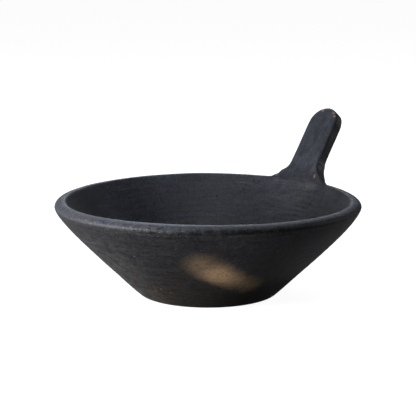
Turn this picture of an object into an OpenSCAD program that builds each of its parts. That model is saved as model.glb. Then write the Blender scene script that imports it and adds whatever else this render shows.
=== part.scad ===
// Open bowl of burnished black clay with one upright paddle handle on its rim, hand built from a
// slab, two rounds of wall, a rim coil and a luted handle.
// Millimetres. Origin at the centre of the resting face, +Z up, the handle stands towards +Y.

/* [Bowl] */
// Diameter over the lip
rim_d = 250; // [225:1:275]
// Height of the lip above the resting face
bowl_h = 78.8; // [72:0.2:86]
// Diameter of the flat resting face
base_d = 110; // [98:1:120]
// Thickness of the floor
floor_t = 8; // [6:0.5:10]
// Height of the joint between the lower and the upper round of clay
lower_top = 34; // [26:1:42]
// Height of the joint between the upper round and the rim coil
upper_top = 60; // [52:1:64]

/* [Lip] */
// Width of the lip from its inner to its outer edge
lip_w = 8.7; // [7:0.1:10.5]
// Drop of the crowned lip from its inner to its outer edge
lip_drop = 5.1; // [3.5:0.1:6.5]
// Size of the worn round on the inner edge of the lip
lip_edge = 1.2; // [0.6:0.1:1.8]

/* [Handle] */
// Width of the paddle
handle_w = 30.5; // [26:0.5:34]
// Thickness of the paddle
handle_t = 15; // [12:0.5:17]
// Length of the paddle along its lean, from the plane of the lip to the tip
handle_len = 71; // [55:1:85]
// Lean of the paddle outward from upright
handle_lean = 37.2; // [32:0.2:42]
// Radius of the rounded long edges of the paddle
handle_edge = 5; // [3:0.5:5.5]

/* [Luting] */
// Radius of the ball that shapes the pad inside the bowl
pad_ball = 60; // [50:1:70]
// Radius of the ball that shapes the heel behind the paddle
heel_ball = 40; // [36:1:50]
// How far the pad stands proud of the front face of the paddle
pad_rise = 0.8; // [0.5:0.1:1.5]
// How far the heel stands proud of the back face of the paddle
heel_rise = 2.5; // [2:0.5:4]
// Radius of the hollow in the left web
web_left_r = 17; // [14:1:20]
// Radius of the hollow in the right web
web_right_r = 27; // [22:1:30]

/* [Hidden] */
$fn = 96;

clay = "#3a3c42";
clay_lip = "#50545e";
clay_handle = "#44464b";
eps = 0.01;
round_fn = 240;        // facets of the large rings and balls

rim_r = rim_d / 2;
base_r = base_d / 2;
lip_in = rim_r - lip_w;
lip_low = bowl_h - lip_drop;
foot_round = 1.6;      // wear on the edge of the resting face
curve_steps = 14;
crown_steps = 6;
edge_steps = 3;

// The paddle stands over the lip: its centre plane crosses the plane of the lip here
handle_r = rim_r - 3;
butt = -5;             // the cut end of the paddle, measured along its lean
lean_dir = [sin(handle_lean), cos(handle_lean)];
lean_run = 34;         // how far the leaning bands of the webs run above the lip
inside_run = 90;       // the same for the space that trims the pad and the heel
pad_drop = 6;          // where the two balls touch, measured down the paddle from the lip
heel_drop = 8;

// Plane curves as [radius, height]
function bezier(p, t) =
    pow(1 - t, 3) * p[0] + 3 * pow(1 - t, 2) * t * p[1] + 3 * (1 - t) * t * t * p[2] + pow(t, 3) * p[3];
function arc_corner(a, c, b, t) = pow(1 - t, 2) * a + 2 * (1 - t) * t * c + t * t * b;
function steps(n) = [for (i = [0 : n]) i / n];

// Outer face: shallow at the base, straight through the wall, rolled upright at the lip
outer_ctrl = [
    [base_r, 0],
    [base_r + 0.32 * (rim_r - base_r), 0.26 * lip_low],
    [rim_r - 1, 0.88 * lip_low],
    [rim_r, lip_low]
];
outer_curve = [for (t = steps(curve_steps)) bezier(outer_ctrl, t)];

// Inner face: flat floor, a wide hollow, then a wall that nearly follows the outer face
floor_r = 0.77 * base_r;
inner_ctrl = [
    [floor_r, floor_t],
    [base_r + 5, floor_t],
    [lip_in - 18.3, bowl_h - 25.8],
    [lip_in, bowl_h]
];
inner_curve = [for (t = steps(curve_steps)) bezier(inner_ctrl, t)];

function by_height(curve) = [for (p = curve) [p[1], p[0]]];
function outer_r(z) = lookup(z, by_height(outer_curve));
function inner_r(z) = lookup(z, by_height(inner_curve));
function between(curve, low, high) = [for (p = curve) if (p[1] > low + eps && p[1] < high - eps) p];
function reversed(list) = [for (i = [len(list) - 1 : -1 : 0]) list[i]];

// Worn corner between the resting face and the wall
foot_top = 1.4;
foot_curve = [for (t = steps(edge_steps))
    arc_corner([base_r - foot_round, 0], [base_r, 0], [outer_r(foot_top), foot_top], t)];

// Crown of the lip, from its outer edge over to the worn inner edge
crown_end = [lip_in + lip_edge, bowl_h];
crown_curve = [for (t = steps(crown_steps))
    [crown_end[0] + (rim_r - crown_end[0]) * cos(90 * t), lip_low + lip_drop * sin(90 * t)]];
lip_curve = [for (t = steps(edge_steps))
    arc_corner(crown_end, [lip_in, bowl_h], [inner_r(bowl_h - lip_edge), bowl_h - lip_edge], t)];

slab_section = concat(
    [[0, 0]], foot_curve, between(outer_curve, foot_top, floor_t),
    [[outer_r(floor_t), floor_t], [0, floor_t]]);

function band_section(low, high) = concat(
    [[outer_r(low), low]], between(outer_curve, low, high), [[outer_r(high), high]],
    [[inner_r(high), high]], reversed(between(inner_curve, low, high)), [[inner_r(low), low]]);

rim_section = concat(
    [[outer_r(upper_top), upper_top]], between(outer_curve, upper_top, lip_low),
    crown_curve, [for (i = [1 : edge_steps]) lip_curve[i]],
    reversed(between(inner_curve, upper_top, bowl_h - lip_edge)),
    [[inner_r(upper_top), upper_top]]);

module clay_ring(section) { rotate_extrude($fn = round_fn) polygon(section); }

// The whole bowl without its handle, used only to trim the handle's pieces to it
module bowl_solid() {
    clay_ring(slab_section);
    clay_ring(band_section(floor_t, lower_top));
    clay_ring(band_section(lower_top, upper_top));
    clay_ring(rim_section);
}

// Local frame of the handle: x across the paddle, y out through its back, z up its lean
module handle_frame() { translate([0, handle_r, bowl_h]) rotate([-handle_lean, 0, 0]) children(); }

module paddle_section() {
    x = handle_w / 2 - handle_edge;
    y = handle_t / 2 - handle_edge;
    square([2 * x, handle_t], center = true);
    square([handle_w, 2 * y], center = true);
    for (sx = [-1, 1], sy = [-1, 1]) translate([sx * x, sy * y]) circle(handle_edge);
}

module paddle_solid() {
    straight = handle_len - handle_w / 2;
    handle_frame() {
        translate([0, 0, butt]) linear_extrude(straight - butt) paddle_section();
        translate([0, 0, straight]) rotate([90, 0, 0]) rotate_extrude(angle = 180)
            intersection() {
                paddle_section();
                translate([0, -handle_t]) square([handle_w, 2 * handle_t]);
            }
    }
}

// Leaning band that continues the lip upward; the webs are cut from it
wall_mid = [rim_r - lip_w / 2, bowl_h - 8];
band_in = [lip_in, bowl_h];
band_out = [rim_r - 1, bowl_h - 0.57 * lip_drop];
lean_band = [wall_mid, band_in, band_in + lean_run * lean_dir, band_out + lean_run * lean_dir, band_out];

module web(side, hollow_r) {
    // The hollow leaves the paddle's side and runs out on the lip, both at a shallow angle
    run = 0.97 * hollow_r;
    turn = asin((handle_w / 2 + run) / rim_r);
    lip_level = -3.5;
    difference() {
        rotate([0, 0, side > 0 ? 90 - turn : 90])
            rotate_extrude(angle = turn, $fn = round_fn) polygon(lean_band);
        rotate([0, 0, -side * turn]) handle_frame()
            translate([0, 0, hollow_r + lip_level]) rotate([90, 0, 0])
                cylinder(r = hollow_r, h = 4 * handle_t, center = true);
        rotate([0, 0, -side * turn]) handle_frame()
            translate([side > 0 ? -3 * hollow_r : -hollow_r, -2 * handle_t, hollow_r + lip_level])
                cube([4 * hollow_r, 4 * handle_t, lean_run]);
        bowl_solid();
        paddle_solid();
    }
}

module base_slab() { color(clay) clay_ring(slab_section); }
module lower_wall() { color(clay) clay_ring(band_section(floor_t, lower_top)); }
module upper_wall() { color(clay) clay_ring(band_section(lower_top, upper_top)); }
module rim_coil() { color(clay_lip) clay_ring(rim_section); }

module handle_paddle() {
    color(clay_handle) difference() {
        paddle_solid();
        bowl_solid();
    }
}

module handle_pad() {
    // Everything on the bowl's side of the wall and of the leaning band
    inside = [[0, floor_t], [inner_r(lower_top), lower_top], wall_mid, band_in,
              band_in + inside_run * lean_dir, [0, bowl_h + inside_run * lean_dir[1]]];
    color(clay_handle) difference() {
        intersection() {
            handle_frame() translate([0, pad_ball - handle_t / 2 - pad_rise, -pad_drop])
                sphere(pad_ball, $fn = round_fn);
            clay_ring(inside);
        }
        bowl_solid();
        paddle_solid();
    }
}

module handle_heel() {
    inside = [[0, -1], [base_r - 10, -1], [inner_r(lower_top), lower_top], wall_mid, band_out,
              band_out + inside_run * lean_dir, [0, bowl_h + inside_run * lean_dir[1]]];
    color(clay) difference() {
        handle_frame() translate([0, handle_t / 2 + heel_rise - heel_ball, -heel_drop])
            sphere(heel_ball, $fn = round_fn);
        clay_ring(inside);
        bowl_solid();
        paddle_solid();
    }
}

module web_left() { color(clay_handle) web(-1, web_left_r); }
module web_right() { color(clay_handle) web(1, web_right_r); }

base_slab();
lower_wall();
upper_wall();
rim_coil();
handle_paddle();
handle_pad();
handle_heel();
web_left();
web_right();
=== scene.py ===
import math
from types import SimpleNamespace

import bpy
import numpy as np
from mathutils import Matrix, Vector


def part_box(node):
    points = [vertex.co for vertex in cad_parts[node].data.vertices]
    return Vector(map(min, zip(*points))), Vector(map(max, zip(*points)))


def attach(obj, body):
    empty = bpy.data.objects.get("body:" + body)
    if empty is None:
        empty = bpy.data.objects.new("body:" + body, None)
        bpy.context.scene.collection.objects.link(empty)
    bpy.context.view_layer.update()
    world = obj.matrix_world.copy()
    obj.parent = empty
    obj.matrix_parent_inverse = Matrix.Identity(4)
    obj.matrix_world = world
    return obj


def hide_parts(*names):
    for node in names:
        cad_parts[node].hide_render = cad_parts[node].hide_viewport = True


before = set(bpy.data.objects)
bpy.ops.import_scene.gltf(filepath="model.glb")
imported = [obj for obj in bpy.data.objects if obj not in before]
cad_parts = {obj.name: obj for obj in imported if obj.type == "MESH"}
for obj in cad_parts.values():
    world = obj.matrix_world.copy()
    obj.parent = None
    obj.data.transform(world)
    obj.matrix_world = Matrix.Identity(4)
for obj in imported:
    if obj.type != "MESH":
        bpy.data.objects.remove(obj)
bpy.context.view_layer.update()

M_TO_MM = 1000.0


def node_box(name):
    """Lowest and highest corner of a CAD node, in millimetres."""
    low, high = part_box(name)
    return [c * M_TO_MM for c in low], [c * M_TO_MM for c in high]


# -------- sizes

RIM_R = node_box("rim_coil")[1][0]
BOWL_H = node_box("rim_coil")[1][2]
FLOOR_T = node_box("base_slab")[1][2]
LOWER_TOP = node_box("lower_wall")[1][2]
UPPER_TOP = node_box("upper_wall")[1][2]
BASE_R = 55.0
LIP_W = 8.7
LIP_DROP = 5.1
LIP_EDGE = 1.2
FOOT_TOP = 1.4
FOOT_ROUND = 1.6
LIP_IN = RIM_R - LIP_W
LIP_LOW = BOWL_H - LIP_DROP

HANDLE_R = RIM_R - 3.0
HANDLE_LEAN = math.radians(37.2)
HANDLE_W = 30.5
HANDLE_T = 15.0
HANDLE_LEN = 70.7

# -------- small numeric tools


def smoothstep(low, high, x):
    t = np.clip((x - low) / (high - low), 0.0, 1.0)
    return t * t * (3.0 - 2.0 * t)


def lattice(ix, iy, iz, seed):
    """Repeatable pseudo-random value from -1 to 1 for each lattice point."""
    h = (ix * 73856093) ^ (iy * 19349663) ^ (iz * 83492791) ^ (seed * 2654435761)
    h = (h ^ (h >> 13)) * 1274126177 & 0x7FFFFFFF
    return ((h ^ (h >> 16)) & 0xFFFF) / 32767.5 - 1.0


def value_noise(p, size, seed):
    """Smooth noise from about -1 to 1 at points p, with features about size across."""
    q = p / size
    cell = np.floor(q).astype(np.int64)
    f = q - cell
    f = f * f * f * (f * (f * 6.0 - 15.0) + 10.0)
    level = 0.0
    for dx in (0, 1):
        wx = f[:, 0] if dx else 1.0 - f[:, 0]
        for dy in (0, 1):
            wy = f[:, 1] if dy else 1.0 - f[:, 1]
            for dz in (0, 1):
                wz = f[:, 2] if dz else 1.0 - f[:, 2]
                corner = lattice(cell[:, 0] + dx, cell[:, 1] + dy, cell[:, 2] + dz, seed)
                level = level + wx * wy * wz * corner
    return level


def blend_min(a, b, width):
    """Smaller of two distances, rounded over width where they meet."""
    h = np.maximum(width - np.abs(a - b), 0.0) / width
    return np.minimum(a, b) - h * h * h * width / 6.0


# -------- bowl profile


def bezier(points, steps):
    t = np.linspace(0.0, 1.0, steps)[:, None]
    p = [np.array(q, float) for q in points]
    return (1 - t) ** 3 * p[0] + 3 * (1 - t) ** 2 * t * p[1] + 3 * (1 - t) * t * t * p[2] + t**3 * p[3]


def round_corner(a, corner, b, steps):
    t = np.linspace(0.0, 1.0, steps)[:, None]
    a, corner, b = (np.array(q, float) for q in (a, corner, b))
    return (1 - t) ** 2 * a + 2 * (1 - t) * t * corner + t * t * b


def resample(curve, pitch, levels=()):
    """Even rows along a plane curve, with a row exactly at each height in levels."""
    run = np.concatenate([[0.0], np.cumsum(np.hypot(*np.diff(curve, axis=0).T))])
    at = np.linspace(0.0, run[-1], max(2, int(round(run[-1] / pitch)) + 1))
    for level in levels:
        hit = np.interp(level, *(zip(*sorted(zip(curve[:, 1], run)))))
        nearest = 1 + np.argmin(np.abs(at[1:-1] - hit))
        at[nearest] = hit
    return np.column_stack([np.interp(at, run, curve[:, 0]), np.interp(at, run, curve[:, 1])])


outer_curve = bezier(
    [
        (BASE_R, 0.0),
        (BASE_R + 0.32 * (RIM_R - BASE_R), 0.26 * LIP_LOW),
        (RIM_R - 1.0, 0.88 * LIP_LOW),
        (RIM_R, LIP_LOW),
    ],
    400,
)
inner_curve = bezier(
    [
        (0.77 * BASE_R, FLOOR_T),
        (BASE_R + 5.0, FLOOR_T),
        (LIP_IN - 18.3, BOWL_H - 25.8),
        (LIP_IN, BOWL_H),
    ],
    400,
)


def outer_r(z):
    return float(np.interp(z, outer_curve[:, 1], outer_curve[:, 0]))


def inner_r(z):
    return float(np.interp(z, inner_curve[:, 1], inner_curve[:, 0]))


def between(curve, low, high):
    """The part of a rising curve from height low to height high, ends included."""
    keep = (curve[:, 1] > low + 1e-6) & (curve[:, 1] < high - 1e-6)
    ends = [(float(np.interp(z, curve[:, 1], curve[:, 0])), z) for z in (low, high)]
    return np.vstack([ends[0], curve[keep], ends[1]])


def crown():
    """Crowned lip: an elliptic shoulder from the outer edge, then the worn inner edge."""
    end = (LIP_IN + LIP_EDGE, BOWL_H)
    turn = np.linspace(0.0, math.pi / 2.0, 60)
    shoulder = np.column_stack(
        [end[0] + (RIM_R - end[0]) * np.cos(turn), LIP_LOW + LIP_DROP * np.sin(turn)]
    )
    low = BOWL_H - LIP_EDGE
    worn = round_corner(end, (LIP_IN, BOWL_H), (inner_r(low), low), 12)
    return np.vstack([shoulder, worn[1:]])


def build_profile():
    """Rows of the half section from the middle of the underside round to the middle of the floor."""
    foot = round_corner((BASE_R - FOOT_ROUND, 0.0), (BASE_R, 0.0), (outer_r(FOOT_TOP), FOOT_TOP), 7)
    under = np.column_stack([np.linspace(0.0, foot[0, 0], 26), np.zeros(26)])
    wall = resample(between(outer_curve, FOOT_TOP, LIP_LOW), 1.1, (FLOOR_T, LOWER_TOP, UPPER_TOP))
    lip = resample(crown(), 0.6)
    inner = resample(
        between(inner_curve, FLOOR_T, BOWL_H - LIP_EDGE), 1.1, (LOWER_TOP, UPPER_TOP)
    )[::-1]
    floor = np.column_stack([np.linspace(inner[-1, 0], 0.0, 30), np.full(30, FLOOR_T)])
    return np.vstack([under, foot[1:], wall[1:], lip[1:], inner[1:], floor[1:]])


profile = build_profile()

# -------- hand-made unevenness

RIDGE_PITCH = 5.2
THIN_LIP = 0.8
# Where fingers pushed the soft clay: middle, reach along x, y and z, and shift
PUSHES = [
    ((-15.0, 139.0, 101.0), (9.0, 30.0, 13.0), (0.5, 0.0, 0.0)),
    ((13.0, 160.0, 131.0), (6.0, 12.0, 5.0), (1.0, 0.0, 0.3)),
    ((15.0, 153.0, 119.0), (8.0, 14.0, 5.0), (-0.45, 0.0, 0.0)),
    ((17.0, 132.0, 91.0), (6.0, 12.0, 4.5), (-0.7, 0.0, 0.0)),
    ((21.0, 124.0, 80.5), (8.0, 12.0, 6.0), (1.2, 0.0, 0.9)),
    ((16.5, 124.5, 96.0), (6.0, 8.0, 15.0), (-0.8, 0.0, 0.0)),
]


def unevenness(p):
    """Small shift of every point of the clay: a hand-built form is never quite round or level."""
    x, y, z = p[:, 0], p[:, 1], p[:, 2]
    around = np.arctan2(y, x)
    up = smoothstep(6.0, 70.0, z)
    out = np.column_stack([np.cos(around), np.sin(around), np.zeros(len(p))])
    radial = up * (0.30 * np.cos(2.0 * around + 0.4) + 0.22 * np.cos(3.0 * around - 1.1))
    radial = radial + up * 0.12 * np.cos(7.0 * around + 2.0)
    radial = radial - up * 0.40 * np.cos(around - 0.73) * np.abs(np.cos(around - 0.73))
    radial = radial + 0.8 * (1.0 - smoothstep(2.0, 24.0, z))
    lift = up * (0.46 * np.cos(2.0 * around + 1.68) + 0.12 * np.cos(5.0 * around + 0.3))
    lift = lift - up * 0.75 * np.maximum(np.cos(around - 0.15), 0.0) ** 4
    # The lip is thinner on one side: its lower edge sits higher there
    thin = np.maximum(np.cos(around + 0.44), 0.0) * smoothstep(114.0, 122.0, np.hypot(x, y))
    lift = lift + THIN_LIP * thin * smoothstep(BOWL_H, LIP_LOW, z) * smoothstep(LIP_LOW - 13.0, LIP_LOW, z)
    slow = np.column_stack([value_noise(p, 46.0, s) for s in (3, 5, 7)])
    middle = np.column_stack([value_noise(p, 17.0, s) for s in (11, 13, 17)])
    fine = np.column_stack([value_noise(p, 6.5, s) for s in (19, 23, 29)])
    still = smoothstep(0.0, 9.0, z)[:, None]
    # Shallow wiping ridges run round the wall and fade in and out along their length
    drag = value_noise(p, 30.0, 31)
    ridge = np.sin(2.0 * math.pi * (z + 1.6 * drag) / RIDGE_PITCH) * (0.5 + 0.5 * value_noise(p, 38.0, 37))
    wall = smoothstep(8.0, 16.0, z) * (1.0 - smoothstep(70.0, 76.0, z))
    shift = still * (0.30 * slow + 0.10 * middle + 0.035 * fine)
    shift = shift + out * (radial + 0.035 * wall * ridge)[:, None]
    shift[:, 2] += lift - 0.035 * wall * ridge
    for place, reach, push in PUSHES:
        near = np.exp(-(((p - np.array(place)) / np.array(reach)) ** 2).sum(axis=1))
        shift += near[:, None] * np.array(push)
    return shift


# -------- the bowl without its handle

AROUND = 720


def spin(rows):
    """Vertex grid of the spun profile, as an array of rows by AROUND by 3."""
    turn = np.linspace(0.0, 2.0 * math.pi, AROUND, endpoint=False)
    x = rows[:, 0, None] * np.cos(turn)
    y = rows[:, 0, None] * np.sin(turn)
    z = np.repeat(rows[:, 1, None], AROUND, 1)
    return np.stack([x, y, z], 2)


def grid_normals(grid):
    """Outward normals of a closed ring grid, from its neighbours."""
    along = np.gradient(grid, axis=0)
    round_ = np.roll(grid, -1, 1) - np.roll(grid, 1, 1)
    n = np.cross(round_, along)
    size = np.linalg.norm(n, axis=2, keepdims=True)
    return n / np.maximum(size, 1e-12)


bowl_grid = spin(profile)
flat = bowl_grid.reshape(-1, 3)
bowl_grid = (flat + unevenness(flat)).reshape(bowl_grid.shape)
for pole in (0, -1):
    bowl_grid[pole] = bowl_grid[pole].mean(0)
bowl_normals = grid_normals(bowl_grid)
bowl_normals[0] = (0.0, 0.0, -1.0)
bowl_normals[-1] = (0.0, 0.0, 1.0)

# -------- mesh building


def make_piece(name, verts, faces, normals, caps):
    """A mesh object from faces (lists of corner numbers); caps are the hidden joint faces, shaded flat."""
    mesh = bpy.data.meshes.new(name)
    every = [tuple(int(i) for i in f) for f in faces] + [tuple(int(i) for i in f) for f in caps]
    mesh.from_pydata((verts / M_TO_MM).tolist(), [], every)
    smooth = np.ones(len(every), bool)
    smooth[len(faces):] = False
    mesh.polygons.foreach_set("use_smooth", smooth)
    corner = np.empty(len(mesh.loops), np.int32)
    mesh.loops.foreach_get("vertex_index", corner)
    corner_normals = normals[corner]
    start = sum(len(f) for f in faces)
    flat_normals = np.empty(len(mesh.polygons) * 3, np.float32)
    mesh.polygons.foreach_get("normal", flat_normals)
    sizes = [len(f) for f in every[len(faces):]]
    corner_normals[start:] = np.repeat(flat_normals.reshape(-1, 3)[len(faces):], sizes, axis=0)
    mesh.normals_split_custom_set(corner_normals.tolist())
    mesh.validate(clean_customdata=False)
    piece = bpy.data.objects.new(name, mesh)
    bpy.context.scene.collection.objects.link(piece)
    return piece


def ring_faces(row_a, row_b):
    """Quads between two rows of the ring grid, seen from outside."""
    i = np.arange(AROUND)
    j = (i + 1) % AROUND
    return np.column_stack([row_a * AROUND + i, row_a * AROUND + j, row_b * AROUND + j, row_b * AROUND + i])


def drop_repeats(quad):
    """A quad with its repeated corners left out, as at the middle of the floor."""
    return [int(v) for k, v in enumerate(quad) if v != quad[k - 1]]


last_row = len(profile) - 1


def bowl_piece(name, spans, joints):
    """One lump of the bowl: spans are runs of profile rows, joints are row pairs closed by a hidden ring."""
    faces = [ring_faces(r, r + 1) for first, last in spans for r in range(first, last)]
    faces = np.vstack(faces)
    faces[faces < AROUND] = 0
    faces[faces >= last_row * AROUND] = last_row * AROUND
    caps = np.vstack([ring_faces(a, b) for a, b in joints])
    used, back = np.unique(np.concatenate([faces.ravel(), caps.ravel()]), return_inverse=True)
    faces, caps = back[: faces.size].reshape(-1, 4), back[faces.size :].reshape(-1, 4)
    verts, normals = bowl_grid.reshape(-1, 3)[used], bowl_normals.reshape(-1, 3)[used]
    return make_piece(name, verts, [drop_repeats(f) for f in faces], normals, caps)


def rows_at(height):
    """The outer and the inner profile row that lie at a joint's height."""
    hits = np.flatnonzero(np.abs(profile[:, 1] - height) < 1e-4)
    return int(hits[0]), int(hits[1])


slab_out, slab_in = rows_at(FLOOR_T)
low_out, low_in = rows_at(LOWER_TOP)
up_out, up_in = rows_at(UPPER_TOP)

pieces = {
    "base_slab": bowl_piece("base_slab", [(0, slab_out), (slab_in, last_row)], [(slab_out, slab_in)]),
    "lower_wall": bowl_piece(
        "lower_wall", [(slab_out, low_out), (low_in, slab_in)], [(low_out, low_in), (slab_in, slab_out)]
    ),
    "upper_wall": bowl_piece(
        "upper_wall", [(low_out, up_out), (up_in, low_in)], [(up_out, up_in), (low_in, low_out)]
    ),
    "rim_coil": bowl_piece("rim_coil", [(up_out, up_in)], [(up_in, up_out)]),
}

# -------- the handle, modelled onto the bowl

LEAN_COS, LEAN_SIN = math.cos(HANDLE_LEAN), math.sin(HANDLE_LEAN)
TABLE_PITCH = 0.4
TABLE_R = np.arange(78.0, 196.0, TABLE_PITCH)
TABLE_Z = np.arange(26.0, 146.0, TABLE_PITCH)


def section_distance():
    """Table of signed distance to the bowl's half section, negative in the clay."""
    a, b = profile, np.roll(profile, -1, 0)
    r, z = np.meshgrid(TABLE_R, TABLE_Z, indexing="ij")
    best = np.full(r.shape, 1e9)
    inside = np.zeros(r.shape, bool)
    for p, q in zip(a, b):
        run = q - p
        length = float(run @ run)
        if length < 1e-12:
            continue
        t = np.clip(((r - p[0]) * run[0] + (z - p[1]) * run[1]) / length, 0.0, 1.0)
        best = np.minimum(best, (r - p[0] - t * run[0]) ** 2 + (z - p[1] - t * run[1]) ** 2)
        if p[1] != q[1]:
            crosses = (p[1] > z) != (q[1] > z)
            inside ^= crosses & (r < p[0] + run[0] * (z - p[1]) / run[1])
    return np.sqrt(best) * np.where(inside, -1.0, 1.0)


bowl_table = section_distance()


def bowl_distance(p):
    r = (np.hypot(p[:, 0], p[:, 1]) - TABLE_R[0]) / TABLE_PITCH
    z = (p[:, 2] - TABLE_Z[0]) / TABLE_PITCH
    r = np.clip(r, 0.0, len(TABLE_R) - 1.001)
    z = np.clip(z, 0.0, len(TABLE_Z) - 1.001)
    i, j = r.astype(int), z.astype(int)
    fr, fz = r - i, z - j
    low = bowl_table[i, j] * (1 - fr) + bowl_table[i + 1, j] * fr
    high = bowl_table[i, j + 1] * (1 - fr) + bowl_table[i + 1, j + 1] * fr
    return low * (1 - fz) + high * fz


def handle_coords(p):
    """Across the paddle, out through its back, and up its lean."""
    dy, dz = p[:, 1] - HANDLE_R, p[:, 2] - BOWL_H
    return p[:, 0], dy * LEAN_COS - dz * LEAN_SIN, dy * LEAN_SIN + dz * LEAN_COS


def rim_coords(p):
    """The same three measures, but following the round of the rim."""
    dr, dz = np.hypot(p[:, 0], p[:, 1]) - HANDLE_R, p[:, 2] - BOWL_H
    return (
        HANDLE_R * np.arctan2(p[:, 0], p[:, 1]),
        dr * LEAN_COS - dz * LEAN_SIN,
        dr * LEAN_SIN + dz * LEAN_COS,
    )


def rounded(across, through, edge):
    """Distance to a slab cut to an outline, with its corner rounded to radius edge."""
    a, b = across + edge, through + edge
    return np.minimum(np.maximum(a, b), 0.0) + np.hypot(np.maximum(a, 0.0), np.maximum(b, 0.0)) - edge


CAP_LEN = 16.8
FACE_CROWN = 0.7
PADDLE_EDGE, RIDGE_EDGE = 4.9, 3.4
PADDLE_END = -38.0


def paddle_distance(p):
    u, v, s = handle_coords(p)
    half = HANDLE_W / 2.0 + 0.25 - 0.006 * np.clip(s, 0.0, HANDLE_LEN)
    squeeze = half / CAP_LEN
    over = np.maximum(s - (HANDLE_LEN - CAP_LEN), 0.0) * squeeze
    reach = np.maximum(np.hypot(u, over), 1e-6)
    outline = (reach - half) / np.hypot(u / reach, over / reach * squeeze)
    outline = np.maximum(outline, PADDLE_END - s)
    crown = FACE_CROWN * np.clip(np.abs(u) / half, 0.0, 1.0) ** 2
    # Below the rim the front runs down into the wall, and so does the back
    front = HANDLE_T / 2.0 - crown - 0.0062 * np.maximum(-3.0 - s, 0.0) ** 2
    back = HANDLE_T / 2.0 - crown - 0.006 * np.maximum(-s, 0.0) ** 2
    tip = 0.2 * smoothstep(HANDLE_LEN - 2.0 * CAP_LEN, HANDLE_LEN, s)
    through = np.maximum(-v - front + tip, v - back + tip)
    # The front's right-hand edge was left sharper than the others
    ridge = smoothstep(-6.0, 6.0, u) * (1.0 - smoothstep(-4.0, 4.0, v))
    tip_back = smoothstep(36.0, 60.0, s) * smoothstep(-2.0, 4.0, v)
    sharper = np.maximum(ridge, 0.75 * tip_back)
    return rounded(outline, through, PADDLE_EDGE + (RIDGE_EDGE - PADDLE_EDGE) * sharper)


def capsule_distance(q, a, b, radius):
    a, b = np.array(a, float), np.array(b, float)
    run = b - a
    t = np.clip(((q - a) @ run) / (run @ run), 0.0, 1.0)
    return np.linalg.norm(q - a - t[:, None] * run, axis=1) - radius


RIGHT_HOLLOW = 21.9
RIGHT_CENTRE = (37.0, 20.0)
WEB_FRONT, WEB_BACK, WEB_EDGE = 3.7, 4.9, 2.6
WEB_SWELL = 1.8
WEB_TOP, WEB_TOP_U, WEB_SLANT = 16.5, 15.4, 0.55
PAD_RISE, PAD_WIDE, PAD_DOWN, PAD_UP = 2.3, 36.0, 50.0, 18.0
HEEL_RISE, HEEL_WIDE, HEEL_DOWN = 1.5, 26.0, 34.0


def bump_share(u, s, wide, down, up):
    """1 under the handle's middle, falling smoothly to 0 at the given reaches."""
    return 1.0 - smoothstep(0.0, 1.0, np.hypot(u / wide, np.where(s < 0.0, s / down, s / up)))


def swollen_bowl_distance(p):
    """The bowl with the clay that was smeared down both sides of the wall under the handle."""
    u, v, s = rim_coords(p)
    inside = 1.0 - smoothstep(-3.5, 3.0, v)
    outside = smoothstep(1.0, 5.0, v)
    rise = PAD_RISE * inside * bump_share(u, s + 4.0, PAD_WIDE, PAD_DOWN, PAD_UP)
    rise = rise + HEEL_RISE * outside * bump_share(u, s + 6.0, HEEL_WIDE, HEEL_DOWN, PAD_UP)
    return bowl_distance(p) - rise


def web_distances(p):
    """Clay pressed into the two corners: a short shoulder on the left, a long hollow on the right."""
    u, v, s = rim_coords(p)
    q = np.column_stack([u, v, s])
    left = capsule_distance(q, (-10.5, -0.4, 6.4), (-17.2, 0.0, 1.8), 5.6)
    left = blend_min(left, capsule_distance(q, (-17.2, 0.0, 0.6), (-23.5, 0.0, -2.6), 4.4), 3.0)
    hollow = RIGHT_HOLLOW - np.hypot(u - RIGHT_CENTRE[0], s - RIGHT_CENTRE[1])
    # At its top the web slants back into the paddle's side and is lost in it
    hollow = np.maximum(hollow, u - WEB_TOP_U + WEB_SLANT * (s - WEB_TOP))
    sides = [u - RIGHT_CENTRE[0], s - RIGHT_CENTRE[1] - 20.0, 6.0 - u, -8.0 - s]
    outline = np.maximum.reduce([hollow, *sides])
    toe = capsule_distance(q, (18.0, 0.0, 1.2), (25.5, 0.0, -2.8), 4.4)
    swell = WEB_SWELL * (1.0 - smoothstep(HANDLE_W / 2.0, 34.0, u))
    right = rounded(outline, np.maximum(-v - WEB_FRONT - swell, v - WEB_BACK - swell), WEB_EDGE)
    right = blend_min(right, toe, 4.0)
    return left, right


def clay_distance(p):
    """Distance to bowl and handle together, as one modelled body."""
    left, right = web_distances(p)
    d = blend_min(swollen_bowl_distance(p), left, 5.0)
    d = blend_min(d, right, 6.0)
    return blend_min(d, paddle_distance(p), 4.2)


def gradient(field, p, step=0.05):
    g = np.empty_like(p)
    for axis in range(3):
        offset = np.zeros(3)
        offset[axis] = step
        g[:, axis] = (field(p + offset) - field(p - offset)) / (2.0 * step)
    return g


def unit(v):
    return v / np.maximum(np.linalg.norm(v, axis=1, keepdims=True), 1e-12)


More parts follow.
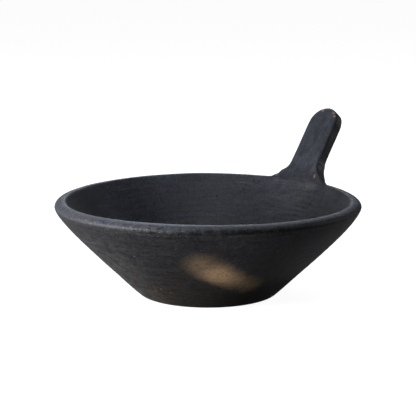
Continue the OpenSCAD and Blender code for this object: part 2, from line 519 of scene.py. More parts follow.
def surface_net(field, low, high, pitch):
    """Quad mesh of a field's zero surface, one vertex in each grid cell that the surface crosses."""
    counts = [int(round((h - l) / pitch)) + 1 for l, h in zip(low, high)]
    axes = [l + pitch * np.arange(n) for l, n in zip(low, counts)]
    values = np.empty(counts)
    for k, x in enumerate(axes[0]):
        y, z = np.meshgrid(axes[1], axes[2], indexing="ij")
        values[k] = field(np.column_stack([np.full(y.size, x), y.ravel(), z.ravel()])).reshape(y.shape)
    inside = values < 0.0
    cells, spots, quads = [], [], []
    for axis in range(3):
        near = tuple(slice(0, -1) if k == axis else slice(1, -1) for k in range(3))
        far = tuple(slice(1, None) if k == axis else slice(1, -1) for k in range(3))
        at = np.argwhere(inside[near] != inside[far])
        at = at + np.array([0 if k == axis else 1 for k in range(3)])
        a = values[tuple(at.T)]
        beyond = at.copy()
        beyond[:, axis] += 1
        b = values[tuple(beyond.T)]
        spot = at.astype(float)
        spot[:, axis] += a / (a - b)
        p, q = [k for k in range(3) if k != axis]
        around = []
        for dp, dq in ((0, 0), (-1, 0), (-1, -1), (0, -1)):
            cell = at.copy()
            cell[:, p] += dp
            cell[:, q] += dq
            around.append(np.ravel_multi_index(tuple(cell.T), counts))
            cells.append(around[-1])
            spots.append(spot)
        quad = np.column_stack(around)
        turned = (a < 0.0) == (axis == 1)
        quad[turned] = quad[turned][:, ::-1]
        quads.append(quad)
    cells, spots, quads = np.concatenate(cells), np.vstack(spots), np.vstack(quads)
    ids, index = np.unique(cells, return_inverse=True)
    weight = np.bincount(index)
    verts = np.column_stack([np.bincount(index, spots[:, k]) / weight for k in range(3)])
    return np.array(low) + verts * pitch, np.searchsorted(ids, quads)


NET_LOW, NET_HIGH, NET_PITCH = (-60.0, 78.0, 34.0), (60.0, 176.0, 142.0), 0.8
SKIN = 0.012
JOINT_DEPTH = 1.6
HANDLE_PIECES = ("handle_paddle", "handle_pad", "handle_heel", "web_left", "web_right")

net_verts, net_quads = surface_net(clay_distance, NET_LOW, NET_HIGH, NET_PITCH)
for _ in range(3):
    slope = gradient(clay_distance, net_verts)
    net_verts -= slope * (clay_distance(net_verts) / np.maximum((slope**2).sum(1), 0.2))[:, None]
above = bowl_distance(net_verts)
net_quads = net_quads[(above[net_quads] > SKIN).any(1)]
used, net_quads = np.unique(net_quads, return_inverse=True)
net_quads = net_quads.reshape(-1, 4)
net_verts, above = net_verts[used], above[used]
bowl_slope = unit(gradient(bowl_distance, net_verts))
# Where the handle's skin runs out on the bowl it takes the bowl's shading
own = smoothstep(0.05, 0.6, above)[:, None]
net_normals = unit(own * unit(gradient(clay_distance, net_verts)) + (1.0 - own) * bowl_slope)


def warp(points, normals):
    """Unevenness applied to points, and their normals turned with it."""
    step = 0.5
    here = unevenness(points)
    bend = np.empty((len(points), 3, 3))
    for axis in range(3):
        offset = np.zeros(3)
        offset[axis] = step
        bend[:, :, axis] = (unevenness(points + offset) - here) / step
    bend += np.eye(3)
    return points + here, unit(np.linalg.solve(bend.transpose(0, 2, 1), normals[:, :, None])[:, :, 0])


def piece_of_each_quad():
    """Number in HANDLE_PIECES of every quad of the handle's net."""
    centre = net_verts[net_quads].mean(1)
    u, v, _ = rim_coords(centre)
    kind = np.where(u < 0.0, 3, 4)
    kind[v < -3.4] = 1
    kind[v > 5.2] = 2
    kind[paddle_distance(centre) < 0.35] = 0
    return kind


quad_piece = piece_of_each_quad()


def tidy_islands(kind):
    """Gives a stray scrap of one piece to the piece that surrounds it."""
    edges = {}
    for number, quad in enumerate(net_quads):
        for k in range(4):
            edges.setdefault(frozenset((quad[k], quad[k - 1])), []).append(number)
    touching = [[] for _ in net_quads]
    for pair in edges.values():
        if len(pair) == 2:
            touching[pair[0]].append(pair[1])
            touching[pair[1]].append(pair[0])
    for _ in range(3):
        seen = np.zeros(len(kind), bool)
        patches = []
        for start in range(len(kind)):
            if seen[start]:
                continue
            patch, stack = [], [start]
            seen[start] = True
            while stack:
                at = stack.pop()
                patch.append(at)
                for other in touching[at]:
                    if not seen[other] and kind[other] == kind[start]:
                        seen[other] = True
                        stack.append(other)
            patches.append(patch)
        largest = {}
        for patch in patches:
            k = kind[patch[0]]
            if len(patch) > len(largest.get(k, [])):
                largest[k] = patch
        for patch in patches:
            if patch is largest[kind[patch[0]]]:
                continue
            near = [kind[o] for q in patch for o in touching[q] if kind[o] != kind[patch[0]]]
            if near:
                kind[patch] = np.bincount(near).argmax()
    return kind


quad_piece = tidy_islands(quad_piece)
# The edge of the handle's skin dips under the bowl's, so that no step shows where it ends
dip = 0.10 * (1.0 - smoothstep(0.015, 0.09, above))
skin_verts, skin_normals = warp(net_verts, net_normals)
skin_verts -= bowl_slope * dip[:, None]
joint_verts = net_verts - bowl_slope * (above + JOINT_DEPTH)[:, None]
joint_verts, _ = warp(joint_verts, net_normals)
root_point = np.array([[0.0, HANDLE_R, BOWL_H]]) + np.array([[0.0, -6.0 * LEAN_SIN, -6.0 * LEAN_COS]])


def open_edges(quads):
    """Directed edges that only one quad has."""
    edges = np.vstack([np.column_stack([quads[:, k], quads[:, (k + 1) % 4]]) for k in range(4)])
    both = {}
    for a, b in edges:
        both[(a, b)] = both.get((a, b), 0) + 1
    return [(a, b) for (a, b) in both if (b, a) not in both]


def handle_piece(number, name):
    """One lump of the handle, closed below its skin by its hidden joint face."""
    quads = net_quads[quad_piece == number]
    rim = open_edges(quads)
    used, local = np.unique(quads, return_inverse=True)
    local = local.reshape(-1, 4)
    place = {int(v): k for k, v in enumerate(used)}
    n = len(used)
    verts, normals = skin_verts[used], skin_normals[used]
    if name == "handle_paddle":
        verts = np.vstack([verts, root_point])
        normals = np.vstack([normals, [[0.0, 0.0, -1.0]]])
        caps = [(place[b], place[a], n) for a, b in rim]
    else:
        verts = np.vstack([verts, joint_verts[used]])
        normals = np.vstack([normals, -normals])
        caps = [tuple(q[::-1] + n) for q in local]
        caps += [(place[b], place[a], place[a] + n, place[b] + n) for a, b in rim]
    return make_piece(name, verts, local, normals, caps)


for number, name in enumerate(HANDLE_PIECES):
    pieces[name] = handle_piece(number, name)

# -------- clay finish


class Graph:
    """Short way to write a material's node tree; every value is a socket or a plain number."""

    def __init__(self, name):
        self.material = bpy.data.materials.new(name)
        self.material.use_nodes = True
        self.tree = self.material.node_tree
        self.shader = self.tree.nodes["Principled BSDF"]

    def feed(self, socket, value):
        if isinstance(value, bpy.types.NodeSocket):
            self.tree.links.new(value, socket)
        else:
            socket.default_value = value

    def position(self):
        coords = self.tree.nodes.new("ShaderNodeTexCoord").outputs["Object"]
        return self.vector("SCALE", coords, scale=M_TO_MM)

    def math(self, operation, *values, clamp=False):
        node = self.tree.nodes.new("ShaderNodeMath")
        node.operation, node.use_clamp = operation, clamp
        for socket, value in zip(node.inputs, values):
            self.feed(socket, value)
        return node.outputs[0]

    def vector(self, operation, *values, scale=None):
        node = self.tree.nodes.new("ShaderNodeVectorMath")
        node.operation = operation
        for socket, value in zip(node.inputs, values):
            self.feed(socket, value)
        if scale is not None:
            self.feed(node.inputs["Scale"], scale)
        return node.outputs["Value" if operation in ("DOT_PRODUCT", "LENGTH", "DISTANCE") else "Vector"]

    def split(self, vector):
        node = self.tree.nodes.new("ShaderNodeSeparateXYZ")
        self.feed(node.inputs[0], vector)
        return node.outputs

    def join(self, x, y, z):
        node = self.tree.nodes.new("ShaderNodeCombineXYZ")
        for socket, value in zip(node.inputs, (x, y, z)):
            self.feed(socket, value)
        return node.outputs[0]

    def noise(self, vector, size, detail=2.0, rough=0.5):
        """Noise from 0 to 1, with features about size millimetres across."""
        node = self.tree.nodes.new("ShaderNodeTexNoise")
        self.feed(node.inputs["Vector"], vector)
        node.inputs["Scale"].default_value = 1.0 / size
        node.inputs["Detail"].default_value = detail
        node.inputs["Roughness"].default_value = rough
        return node.outputs["Fac"]

    def cells(self, vector, size):
        """Distance from the nearest scattered point, in cell sizes, and that point's random value."""
        node = self.tree.nodes.new("ShaderNodeTexVoronoi")
        self.feed(node.inputs["Vector"], vector)
        node.inputs["Scale"].default_value = 1.0 / size
        shade = self.tree.nodes.new("ShaderNodeSeparateColor")
        self.feed(shade.inputs[0], node.outputs["Color"])
        return node.outputs["Distance"], shade.outputs[0]

    def ramp(self, value, low, high, to_low=0.0, to_high=1.0):
        """Smooth step of value from low to high, given as a number from to_low to to_high."""
        node = self.tree.nodes.new("ShaderNodeMapRange")
        node.interpolation_type = "SMOOTHSTEP"
        for socket, number in zip(node.inputs, (value, low, high, to_low, to_high)):
            self.feed(socket, number)
        return node.outputs[0]

    def mix(self, share, a, b):
        node = self.tree.nodes.new("ShaderNodeMix")
        node.data_type = "RGBA"
        self.feed(node.inputs["Factor"], share)
        for socket, colour in zip(node.inputs[6:8], (a, b)):
            self.feed(socket, (*colour, 1.0) if isinstance(colour, tuple) else colour)
        return node.outputs[2]

    def tint(self, colour, factor):
        """Colour multiplied by a plain factor."""
        node = self.tree.nodes.new("ShaderNodeMix")
        node.data_type, node.blend_type = "RGBA", "MULTIPLY"
        node.inputs["Factor"].default_value = 1.0
        self.feed(node.inputs[6], (*colour, 1.0) if isinstance(colour, tuple) else colour)
        self.feed(node.inputs[7], self.join(factor, factor, factor))
        return node.outputs[2]

    def bump(self, height, distance, normal=None):
        node = self.tree.nodes.new("ShaderNodeBump")
        node.inputs["Strength"].default_value = 1.0
        node.inputs["Distance"].default_value = distance / M_TO_MM
        self.feed(node.inputs["Height"], height)
        if normal is not None:
            self.feed(node.inputs["Normal"], normal)
        return node.outputs[0]


COOL = (0.0250, 0.0275, 0.0370)
GREY = (0.0292, 0.0286, 0.0325)
WARM = (0.0320, 0.0260, 0.0205)
# The dust colour also paints light on one flank of the outer wall
DUST_AND_LIGHT = (0.1040, 0.1000, 0.1030)
# The pale colour of wear also paints sheen on the lip and on the handle's front edge
PALE_WEAR_AND_SHEEN = (0.1000, 0.1080, 0.1300)
BARE = (0.3400, 0.2100, 0.1200)
GRIT = (0.2600, 0.2200, 0.1850)
FIRED = (0.6800, 0.4550, 0.2600)
PIT = (0.004, 0.004, 0.004)
ROOT = (0.0, HANDLE_R, BOWL_H)
RIDGE_THROUGH = HANDLE_R * LEAN_COS - BOWL_H * LEAN_SIN - 6.9
# The photo's right-hand and near directions, as directions across the bowl: the tone, much of it painted
# light and shade, and the wear are laid out along them and stay fixed to the clay
SIDE_A, SIDE_B = (0.743, 0.669, 0.0), (0.669, -0.743, 0.0)
# Tone factors of painted light and shade round the bowl, each as (from, to, factor there, factor here). They
# were fitted so that the lit render matches the photo, which can't tell soot and wear from the fall of its
# own light
OUTER_LOW_SHADE, OUTER_HIGH_LIGHT = (-0.5, 0.8, 0.80, 0.22), (-0.1, 0.25, 1.05, 2.0)
LIP_SHADE = (-0.60, 0.15, 1.10, 0.45)
INNER_LEFT_LIGHT, INNER_FAR_LEFT_SHADE = (-0.05, -0.45, 1.0, 1.75), (-0.80, -0.97, 1.0, 0.28)
INNER_FAR_RIGHT_SHADE, INNER_LOW_SHADE = (0.80, 0.97, 1.0, 0.80), (0.0, 42.0, 0.75, 1.0)
HANDLE_FOOT_LIGHT, HANDLE_MIDDLE_SHADE = (138.0, 150.0, 1.32, 1.56), (152.0, 176.0, 1.0, 0.74)
HANDLE_TIP_LIGHT, HANDLE_SIDE_SHADE = (188.0, 202.0, 1.0, 1.15), (13.6, 15.6, 0.0, -0.48)
# Size of the mottling's features, in millimetres
CLOUD_SIZE, TONE_SIZE, BLOTCH_SIZE, GRAIN_SIZE = 34.0, 15.0, 6.0, 1.9
# How far each mark covers the clay under it
BLOOM_AND_LIGHT_SHARE, DUST_SHARE, RUB_AND_LIGHT_SHARE, RIDGE_WEAR_AND_HIGHLIGHT_SHARE = 0.80, 0.20, 0.62, 0.45
CHIP_SHARE, PIT_SHARE, GRIT_SHARE, LIP_GRIT_SHARE = 0.70, 0.75, 0.34, 0.65
FIRE_REACH = 22.0
CREASE_SHADE_Z, JOINT_LINE_Z = 74.6, 71.2
FRONT_EDGE_X = 14.6
# Fire cloud on the outer wall: where the flame touched, from its thick end to its thin end
CLOUD_A, CLOUD_B = (65.5, -77.0, 44.0), (73.0, -34.0, 24.0)


def on_paddle(u, v, along):
    """Point of the handle: u across it, v through it from front to back, along it from the rim."""
    return (u, ROOT[1] + along * LEAN_SIN + v * LEAN_COS, ROOT[2] + along * LEAN_COS - v * LEAN_SIN)


def on_wall(around, height, wall_r=outer_r):
    """Point of the wall: degrees round from +X towards the handle, and height."""
    turn = math.radians(around)
    return (wall_r(height) * math.cos(turn), wall_r(height) * math.sin(turn), height)


def on_lip(around):
    """Point of the lip's crest, near its inner edge."""
    return on_wall(around, BOWL_H - 0.2, lambda _: LIP_IN + 0.9)


# Chips that show buff clay, and pits: middle and radius
CHIPS = [
    (on_wall(-80.0, 49.5), 0.8), (on_wall(-71.5, 49.5), 0.7), (on_wall(-83.0, 15.0), 0.9),
    (on_wall(-77.5, 18.0), 0.8), (on_wall(-72.0, 15.5), 0.8), (on_wall(-62.5, 8.0), 0.9),
    (on_wall(-27.5, 67.5), 0.8), (on_wall(-30.5, 42.0), 0.7),
    (on_lip(117.0), 1.7), (on_lip(114.5), 1.5), (on_lip(111.5), 1.1),
    (on_paddle(-3.0, -7.0, 66.0), 1.9), (on_paddle(9.5, -7.0, 65.0), 2.1),
    (on_paddle(11.5, -7.0, 61.5), 1.5), (on_paddle(15.0, -3.5, 57.0), 0.8),
    (on_paddle(15.0, 0.0, 56.0), 0.8), (on_paddle(15.0, -2.0, 43.5), 0.7),
    (on_paddle(18.5, -7.0, 2.0), 1.0), (on_paddle(19.0, -7.0, 0.5), 1.4),
    (on_paddle(20.0, -7.0, -1.0), 1.2), (on_paddle(21.0, -6.5, -7.0), 1.0),
]
PITS = [
    (on_wall(-48.0, 60.5), 0.9), (on_wall(-35.0, 61.5), 0.8),
    (on_wall(114.5, 68.0, inner_r), 1.1), (on_wall(106.5, 51.5, inner_r), 0.9),
    (on_wall(94.5, 55.5, inner_r), 0.9), (on_wall(93.0, 47.0, inner_r), 0.8),
    (on_wall(127.5, 61.0, inner_r), 1.2), (on_wall(125.0, 76.5, inner_r), 1.0),
]


def stretched(g, p, x, y, z, radius, long_way, tall):
    """Coordinates for marks that run round the wall: long_way millimetres along it, tall up it."""
    safe = g.math("MAXIMUM", radius, 1.0)
    return g.join(
        g.math("MULTIPLY", g.math("DIVIDE", x, safe), 100.0 / long_way),
        g.math("MULTIPLY", g.math("DIVIDE", y, safe), 100.0 / long_way),
        g.math("MULTIPLY", g.math("ADD", z, g.math("MULTIPLY", radius, 0.8)), 1.0 / tall),
    )


def near_line(g, p, a, b):
    """Distance in millimetres from p to the line between two points, and the share of the way along."""
    a, b = Vector(a), Vector(b)
    run = b - a
    along = g.math("DIVIDE", g.vector("DOT_PRODUCT", g.vector("SUBTRACT", p, tuple(a)), tuple(run)),
                   run.length_squared, clamp=True)
    spot = g.vector("ADD", tuple(a), g.vector("SCALE", tuple(run), scale=along))
    return g.vector("DISTANCE", p, spot), along


def centred(g, value, gain):
    """Noise from 0 to 1 turned into a swing of gain about nothing."""
    return g.math("MULTIPLY", g.math("SUBTRACT", value, 0.5), gain)


def total(g, first, *rest):
    for value in rest:
        first = g.math("ADD", first, value)
    return first


def product(g, first, *rest):
    for value in rest:
        first = g.math("MULTIPLY", first, value)
    return first


def clamped(g, value):
    return g.math("MINIMUM", g.math("MAXIMUM", value, 0.0), 1.0)


def places(g):
    """Where a point is: the coordinates and masks that all the marks are laid out by."""
    c = SimpleNamespace(p=g.position())
    c.x, c.y, c.z = g.split(c.p)
    c.radius = g.vector("LENGTH", g.vector("MULTIPLY", c.p, (1.0, 1.0, 0.0)))
    safe = g.math("MAXIMUM", c.radius, 1.0)
    c.side_a = g.math("DIVIDE", g.vector("DOT_PRODUCT", c.p, SIDE_A), safe)
    c.side_b = g.math("DIVIDE", g.vector("DOT_PRODUCT", c.p, SIDE_B), safe)
    c.up_lean = g.vector("DOT_PRODUCT", c.p, (0.0, LEAN_SIN, LEAN_COS))
    c.through = g.vector("DOT_PRODUCT", c.p, (0.0, LEAN_COS, -LEAN_SIN))
    c.on_handle = g.ramp(c.up_lean, 136.0, 150.0)
    c.off_handle = g.math("SUBTRACT", 1.0, c.on_handle)
    c.inner = g.ramp(g.math("SUBTRACT", c.radius, g.math("MULTIPLY", c.z, 0.90)), 56.0, 52.0)
    c.outer = g.math("SUBTRACT", 1.0, c.inner)
    clear_of_root = g.ramp(g.vector("DISTANCE", c.p, ROOT), 16.0, 34.0)
    c.lip = product(g, g.ramp(c.z, 72.0, 75.0), clear_of_root, g.ramp(c.radius, 114.5, 117.0), c.off_handle)
    return c


def marks_of_making(g, c):
    """Wiping and rubbing marks, round the wall and lengthwise on the handle, and blotches."""
    m = SimpleNamespace()
    sway = g.join(0.0, 0.0, centred(g, g.noise(c.p, 22.0, 1.0), 7.0))
    swayed = g.vector("ADD", c.p, sway)
    sx, sy, sz = g.split(swayed)
    broad = g.noise(stretched(g, swayed, sx, sy, sz, c.radius, 36.0, 3.2), 1.0, 2.0, 0.55)
    fine = g.noise(stretched(g, swayed, sx, sy, sz, c.radius, 16.0, 1.5), 1.0, 2.0, 0.6)
    lengthwise = g.join(product(g, c.x, 0.34), product(g, c.through, 0.34), product(g, c.up_lean, 0.055))
    strokes = g.noise(lengthwise, 1.0, 3.0, 0.65)
    m.streak = total(g, product(g, c.off_handle, total(g, product(g, broad, 0.5), product(g, fine, 0.5))),
                     product(g, c.on_handle, strokes))
    lines = g.noise(stretched(g, swayed, sx, sy, sz, c.radius, 30.0, 1.3), 1.0, 1.0, 0.5)
    m.cloud = g.noise(c.p, CLOUD_SIZE, 3.0, 0.55)
    m.tone = g.noise(g.vector("ADD", c.p, (91.0, 17.0, 55.0)), TONE_SIZE, 3.0, 0.6)
    m.blotch = g.noise(c.p, BLOTCH_SIZE, 4.0, 0.65)
    m.grain = g.noise(c.p, GRAIN_SIZE, 2.0, 0.6)
    m.scratch = product(g, g.ramp(lines, 0.60, 0.70), g.ramp(m.tone, 0.42, 0.62), c.off_handle)
    return m


def blended(g, share, a, b):
    """a where share is 0 and b where it is 1, for plain numbers."""
    return total(g, product(g, a, g.math("SUBTRACT", 1.0, share)), product(g, b, share))


def painted_shade_round(g, c):
    """Painted light and shade: how light the clay is made by place, round the outer wall, the lip and the
    inside, and up the handle.
    """
    low, high = g.ramp(c.side_a, *OUTER_LOW_SHADE), g.ramp(c.side_a, *OUTER_HIGH_LIGHT)
    outside = blended(g, g.ramp(c.z, 4.0, 50.0), low, high)
    outside = blended(g, c.lip, outside, g.ramp(c.side_a, *LIP_SHADE))
    ends = product(g, g.ramp(c.side_a, *INNER_FAR_LEFT_SHADE), g.ramp(c.side_a, *INNER_FAR_RIGHT_SHADE))
    inside = product(g, g.ramp(c.z, *INNER_LOW_SHADE), g.ramp(c.side_a, *INNER_LEFT_LIGHT), ends)
    wall = total(g, product(g, c.outer, outside), product(g, c.inner, inside))
    # Painted shade: the handle's right-hand side face is made darker
    side_face_shade = total(g, 1.0, product(g, g.ramp(c.x, *HANDLE_SIDE_SHADE), g.ramp(c.up_lean, 150.0, 168.0)))
    handle = product(g, g.ramp(c.up_lean, *HANDLE_FOOT_LIGHT), g.ramp(c.up_lean, *HANDLE_MIDDLE_SHADE),
                     g.ramp(c.up_lean, *HANDLE_TIP_LIGHT), side_face_shade)
    return total(g, product(g, c.off_handle, wall), product(g, c.on_handle, handle))


def body_colour(g, c, m):
    """Smoked black clay: blue-grey where it was burnished, browner low down and in patches, with painted
    light and shade laid over it.
    """
    warmth = total(g, product(g, g.ramp(c.z, 56.0, 3.0), 0.9), centred(g, m.tone, 1.6))
    warmth = product(g, clamped(g, warmth), total(g, 1.0, product(g, c.inner, -0.8)))
    inner_cool = product(g, c.inner, g.ramp(c.side_a, 0.45, 0.95, 0.85, 0.25))
    coolness = total(g, 0.15, inner_cool, product(g, c.lip, 0.7), product(g, c.on_handle, 0.30),
                     centred(g, m.cloud, 1.3))
    colour = g.mix(clamped(g, coolness), GREY, COOL)
    colour = g.mix(warmth, colour, WARM)
    mottle = total(g, centred(g, m.cloud, 0.55), centred(g, m.blotch, 1.0), centred(g, m.streak, 1.7),
                   centred(g, m.grain, 2.1), product(g, m.scratch, g.ramp(c.inner, 0.0, 1.0, 0.5, 0.85)))
    handle_mottle = total(g, centred(g, m.blotch, 0.6), centred(g, m.streak, 1.5), centred(g, m.grain, 1.2))
    shade = total(g, 1.0, product(g, c.off_handle, mottle), product(g, c.on_handle, handle_mottle))
    # Painted light and shade round the bowl, laid over the clay's own mottling
    shade = product(g, shade, painted_shade_round(g, c))
    # Painted shade: a dark band in the crease under the lip, on the near side
    beside = g.ramp(g.math("ABSOLUTE", g.math("SUBTRACT", c.z, CREASE_SHADE_Z)), 2.9, 0.6)
    front = product(g, g.ramp(c.side_b, -0.3, 0.4), g.ramp(c.side_a, -0.7, 0.0, 0.5, 1.0))
    crease_shade = product(g, beside, c.outer, g.ramp(c.radius, 117.0, 120.0), front, c.off_handle)
    shade = product(g, shade, total(g, 1.0, product(g, crease_shade, -0.60)))
    return g.tint(colour, g.math("MAXIMUM", shade, 0.15))


def spots(g, p, ragged, list_of_spots):
    """1 inside any of the listed spots, 0 outside, with ragged edges."""
    found = 0.0
    for middle, size in list_of_spots:
        apart = g.math("ADD", g.vector("DISTANCE", p, middle), ragged)
        found = g.math("MAXIMUM", g.ramp(apart, size, 0.45 * size), found)
    return found


def scattered(g, p, size, spot, share):
    """Random spots: the cells' size, a spot's radius in cells, and the share of cells with one."""
    apart, pick = g.cells(p, size)
    return product(g, g.ramp(apart, spot, 0.4 * spot), g.math("GREATER_THAN", pick, 1.0 - share))


def clay_material(name):
    g = Graph(name)
    c = places(g)
    m = marks_of_making(g, c)
    colour = body_colour(g, c, m)

    # Dry dusty bloom on one flank of the outer wall, partly painted light: it makes the flank that faces the
    # light paler
    lit_dusty_flank = product(g, g.ramp(c.side_a, -0.35, -0.90), g.ramp(c.z, 76.0, 40.0), c.outer, c.off_handle)
    patchy = total(g, m.blotch, centred(g, m.streak, 0.35), centred(g, m.grain, 0.35))
    bloom_and_light = product(g, lit_dusty_flank, g.ramp(patchy, 0.28, 0.76))
    dust_speck = product(g, scattered(g, g.vector("ADD", c.p, (5.0, 29.0, 13.0)), 2.7, 0.30, 0.40), lit_dusty_flank)
    dust_and_light = total(g, product(g, bloom_and_light, BLOOM_AND_LIGHT_SHARE), product(g, dust_speck, DUST_SHARE))
    colour = g.mix(dust_and_light, colour, DUST_AND_LIGHT)

    # Fire cloud: buff clay where the smoke never reached, with soft ragged edges
    away, along = near_line(g, c.p, CLOUD_A, CLOUD_B)
    away = total(g, away, centred(g, m.tone, 8.0), centred(g, m.blotch, 8.0), centred(g, m.streak, 8.0))
    away = product(g, away, total(g, 1.0, product(g, along, 0.48)))
    fire = product(g, g.ramp(away, FIRE_REACH, 1.0), c.outer, g.ramp(along, 0.0, 0.32, 0.32, 0.94),
                   g.ramp(along, 0.40, 1.0, 1.0, 0.40))
    mottled = total(g, 1.15, centred(g, m.grain, 1.3), centred(g, m.streak, 1.3), centred(g, m.blotch, 0.8))
    colour = g.mix(clamped(g, fire), colour, g.tint(FIRED, mottled))

    # Lip rubbed pale in grainy patches, and partly painted light: paler most of all on the two sides where
    # the light falls
    sides = g.math("ABSOLUTE", g.vector("DOT_PRODUCT", c.p, (0.0072, 0.0065, 0.0)))
    front_left = g.math("MAXIMUM", g.vector("DOT_PRODUCT", c.p, (-0.0030, -0.0070, 0.0)), 0.0)
    worn = total(g, product(g, sides, 0.55), product(g, front_left, 0.38), centred(g, m.blotch, 2.2),
                 centred(g, m.tone, 0.8), centred(g, m.grain, 2.4), centred(g, m.streak, 1.5))
    rub_and_light = product(g, c.lip, g.ramp(worn, 0.0, 0.85), g.ramp(c.side_a, 0.6, 0.95, 1.0, 0.55),
                  g.ramp(c.side_a, -0.35, 0.05, 1.0, 0.50))
    colour = g.mix(product(g, rub_and_light, RUB_AND_LIGHT_SHARE), colour, PALE_WEAR_AND_SHEEN)

    # Bare clay where tiny grains were lost: scattered, along the joint under the lip, and on the rub
    joint = product(g, g.ramp(g.math("ABSOLUTE", g.math("SUBTRACT", c.z, JOINT_LINE_Z)), 1.1, 0.5),
                    g.ramp(c.side_b, 0.35, 0.75), g.ramp(c.radius, 116.0, 118.0))
    speck = product(g, scattered(g, c.p, 3.8, 0.17, 0.24), c.outer, GRIT_SHARE)
    joint_speck = product(g, scattered(g, c.p, 1.9, 0.42, 0.60), joint, GRIT_SHARE)
    lip_speck = scattered(g, g.vector("ADD", c.p, (11.0, 3.0, 8.0)), 2.0, 0.36, 0.60)
    lip_speck = product(g, lip_speck, rub_and_light, LIP_GRIT_SHARE)
    ragged = centred(g, m.grain, 1.2)
    grit = g.math("MAXIMUM", g.math("MAXIMUM", speck, joint_speck), lip_speck)
    colour = g.mix(grit, colour, GRIT)
    chip = product(g, spots(g, c.p, ragged, CHIPS), CHIP_SHARE)
    colour = g.mix(chip, colour, BARE)

    # Handle's front edge paler along the ridge: partly wear, partly a painted highlight
    across = g.math("SUBTRACT", c.x, FRONT_EDGE_X)
    through = g.math("SUBTRACT", c.through, RIDGE_THROUGH)
    from_edge = g.vector("LENGTH", g.join(across, through, 0.0))
    ridge = total(g, from_edge, centred(g, m.tone, 9.0), centred(g, m.grain, 2.5))
    wear_and_highlight = product(g, g.ramp(ridge, 2.0, 0.2), c.on_handle)
    colour = g.mix(product(g, wear_and_highlight, RIDGE_WEAR_AND_HIGHLIGHT_SHARE), colour, PALE_WEAR_AND_SHEEN)

    # Dark pinholes
    pit = g.math("MAXIMUM", scattered(g, g.vector("ADD", c.p, (37.0, 5.0, 71.0)), 8.0, 0.11, 0.30),
                 spots(g, c.p, ragged, PITS))
    colour = g.mix(product(g, pit, PIT_SHARE), colour, PIT)

    g.feed(g.shader.inputs["Base Color"], colour)
    sooty = product(g, g.ramp(c.z, 34.0, 6.0), g.ramp(c.side_a, -0.5, 0.5), c.outer)
    lip_rough = product(g, c.lip, g.ramp(c.side_a, -0.2, 0.5, 0.03, 0.13))
    dry = total(g, product(g, sooty, 0.40), product(g, rub_and_light, 0.06), product(g, bloom_and_light, 0.10),
                product(g, fire, 0.15))
    rough = total(g, 0.50, centred(g, m.blotch, 0.25), centred(g, m.streak, 0.35), lip_rough, dry)
    g.feed(g.shader.inputs["Roughness"], rough)
    calm = g.ramp(c.on_handle, 0.0, 1.0, 1.0, 0.22)
    lost = product(g, g.math("MAXIMUM", chip, grit), -0.15)
    relief = total(g, product(g, m.streak, 0.13, calm), product(g, m.blotch, 0.12, calm),
                   product(g, m.grain, 0.05), product(g, pit, -0.35), lost, product(g, m.scratch, -0.03))
    g.feed(g.shader.inputs["Normal"], g.bump(relief, 1.0))
    g.shader.inputs["Specular IOR Level"].default_value = 0.45
    return g.material


materials = {slot: clay_material(slot) for slot in ("clay_wall", "clay_lip", "clay_handle")}
SLOTS = {
    "base_slab": "clay_wall",
    "lower_wall": "clay_wall",
    "upper_wall": "clay_wall",
    "handle_heel": "clay_wall",
    "rim_coil": "clay_lip",
    "handle_paddle": "clay_handle",
    "handle_pad": "clay_handle",
    "web_left": "clay_handle",
    "web_right": "clay_handle",
}
for name, piece in pieces.items():
    piece.name = name + "_clay"
    piece.data.name = piece.name
    piece.data.materials.append(materials[SLOTS[name]])
    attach(piece, "root")
    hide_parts(name)

# -------- floor, light and camera

# The photo's camera: rise and lens fitted to the object's outline at this distance
VIEW_TURN = math.radians(42.0)
VIEW_RISE = math.radians(10.757)
VIEW_DISTANCE = 1.2
VIEW_LENS = 126.87
AIM_HEIGHT = 0.0699
AIM_ASIDE = -0.00012

view_right = Vector((math.cos(VIEW_TURN), math.sin(VIEW_TURN), 0.0))
view_back = Vector((math.sin(VIEW_TURN), -math.cos(VIEW_TURN), 0.0))


def in_view(right, back, up):
    """Point given by metres to the viewer's right, towards the viewer, and up."""
    return view_right * right + view_back * back + Vector((0.0, 0.0, up))


LIGHT_DISTANCE = 1.8
LIGHT_SIZE = 0.95
DAYLIGHT = (0.90, 0.96, 1.06)


def softbox(name, turn, rise, power, colour=(1.0, 1.0, 1.0)):
    """Disk light aimed at the bowl: turn is measured round from behind the camera, to the right."""
    turn, rise = math.radians(turn), math.radians(rise)
    data = bpy.data.lights.new(name, "AREA")
    data.shape, data.size, data.energy, data.color = "DISK", LIGHT_SIZE, power, colour
    light = bpy.data.objects.new(name, data)
    bpy.context.scene.collection.objects.link(light)
    light.location = LIGHT_DISTANCE * in_view(
        math.sin(turn) * math.cos(rise), math.cos(turn) * math.cos(rise), math.sin(rise)
    )
    aim = Vector((0.0, 0.0, 0.05))
    light.location += aim
    light.rotation_euler = (aim - light.location).to_track_quat("-Z", "Y").to_euler()


# Placed, powered and tinted so that the shading on the clay matches the photo's
softbox("key", -65.0, 8.0, 44.0)
softbox("behind", 180.0, 32.0, 9.2, DAYLIGHT)
softbox("overhead", 0.0, 88.0, 7.2, DAYLIGHT)
softbox("right", 108.0, 12.0, 2.8)

SKY_ABOVE, SKY_BELOW = 0.06, 0.07
TABLE_BEHIND, TABLE_LEFT = 0.11, 0.40


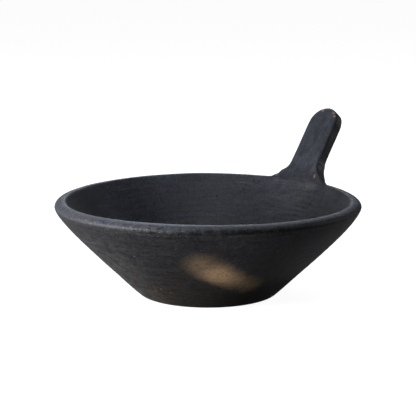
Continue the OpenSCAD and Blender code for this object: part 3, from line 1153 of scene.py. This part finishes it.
def studio_world():
    """Dim air above the horizon; below it the table, which reflects most behind and on the left."""
    world = bpy.data.worlds.new("studio")
    world.use_nodes = True
    nodes, links = world.node_tree.nodes, world.node_tree.links
    direction = nodes.new("ShaderNodeTexCoord").outputs["Generated"]

    def lean_towards(axis, low, high, to_low, to_high):
        dot = nodes.new("ShaderNodeVectorMath")
        dot.operation = "DOT_PRODUCT"
        links.new(direction, dot.inputs[0])
        dot.inputs[1].default_value = axis
        ramp = nodes.new("ShaderNodeMapRange")
        ramp.interpolation_type = "SMOOTHSTEP"
        for socket, number in zip(list(ramp.inputs)[1:5], (low, high, to_low, to_high)):
            socket.default_value = number
        links.new(dot.outputs["Value"], ramp.inputs[0])
        return ramp.outputs[0]

    def math_node(operation, a, b):
        node = nodes.new("ShaderNodeMath")
        node.operation = operation
        for socket, value in zip(node.inputs, (a, b)):
            if isinstance(value, float):
                socket.default_value = value
            else:
                links.new(value, socket)
        return node.outputs[0]

    table = math_node("ADD", lean_towards(-view_back, 0.1, 0.9, 0.0, TABLE_BEHIND),
                      lean_towards(-view_right, 0.2, 0.95, 0.0, TABLE_LEFT))
    below = lean_towards((0.0, 0.0, -1.0), -0.12, 0.10, 0.0, 1.0)
    near_level = lean_towards((0.0, 0.0, -1.0), 0.95, 0.30, 0.25, 1.0)
    table = math_node("MULTIPLY", math_node("MULTIPLY", table, below), near_level)
    base = lean_towards((0.0, 0.0, 1.0), -0.10, 0.15, SKY_BELOW, SKY_ABOVE)
    links.new(math_node("ADD", table, base), nodes["Background"].inputs["Strength"])
    nodes["Background"].inputs["Color"].default_value = (1.0, 1.0, 1.0, 1.0)
    return world


bpy.context.scene.world = studio_world()

FLOOR_FLAT, SWEEP_R, FLOOR_SIDES = 6.0, 4.0, 96


def sweep_floor():
    """Pale paper floor that curves up into a far wall all round. It glows by itself and lights nothing."""
    bend = [math.radians(a) for a in range(0, 91, 6)]
    section = [(0.35, 0.0), (1.5, 0.0)]
    section += [(FLOOR_FLAT + SWEEP_R * math.sin(a), SWEEP_R * (1.0 - math.cos(a))) for a in bend]
    section.append((section[-1][0], 9.0))
    verts = [(0.0, 0.0, 0.0)]
    for r, z in section:
        for k in range(FLOOR_SIDES):
            turn = 2.0 * math.pi * k / FLOOR_SIDES
            verts.append((r * math.cos(turn), r * math.sin(turn), z))

    def ring(row, k):
        return 1 + row * FLOOR_SIDES + k % FLOOR_SIDES

    faces = [(0, ring(0, k), ring(0, k + 1)) for k in range(FLOOR_SIDES)]
    for row in range(len(section) - 1):
        for k in range(FLOOR_SIDES):
            faces.append((ring(row, k), ring(row + 1, k), ring(row + 1, k + 1), ring(row, k + 1)))
    mesh = bpy.data.meshes.new("floor")
    mesh.from_pydata(verts, [], faces)
    mesh.polygons.foreach_set("use_smooth", [True] * len(faces))
    floor = bpy.data.objects.new("floor", mesh)
    bpy.context.scene.collection.objects.link(floor)
    paper = Graph("paper")
    paper.shader.inputs["Base Color"].default_value = (0.45, 0.45, 0.45, 1.0)
    paper.shader.inputs["Roughness"].default_value = 1.0
    paper.shader.inputs["Specular IOR Level"].default_value = 0.0
    paper.shader.inputs["Emission Color"].default_value = (1.0, 1.0, 1.0, 1.0)
    paper.shader.inputs["Emission Strength"].default_value = 0.94
    mesh.materials.append(paper.material)
    # The paper is seen, but throws no light or reflection back up at the clay
    floor.visible_diffuse = floor.visible_glossy = floor.visible_shadow = False
    return floor


sweep_floor()

camera_data = bpy.data.cameras.new("camera")
camera_data.lens = VIEW_LENS
camera_data.sensor_width = 36.0
camera_data.clip_end = 100.0
camera = bpy.data.objects.new("camera", camera_data)
bpy.context.scene.collection.objects.link(camera)
aim_at = in_view(AIM_ASIDE, 0.0, AIM_HEIGHT)
camera.location = aim_at + VIEW_DISTANCE * in_view(0.0, math.cos(VIEW_RISE), math.sin(VIEW_RISE))
camera.rotation_euler = (aim_at - camera.location).to_track_quat("-Z", "Y").to_euler()
bpy.context.scene.camera = camera
bpy.context.scene.view_settings.view_transform = "Standard"
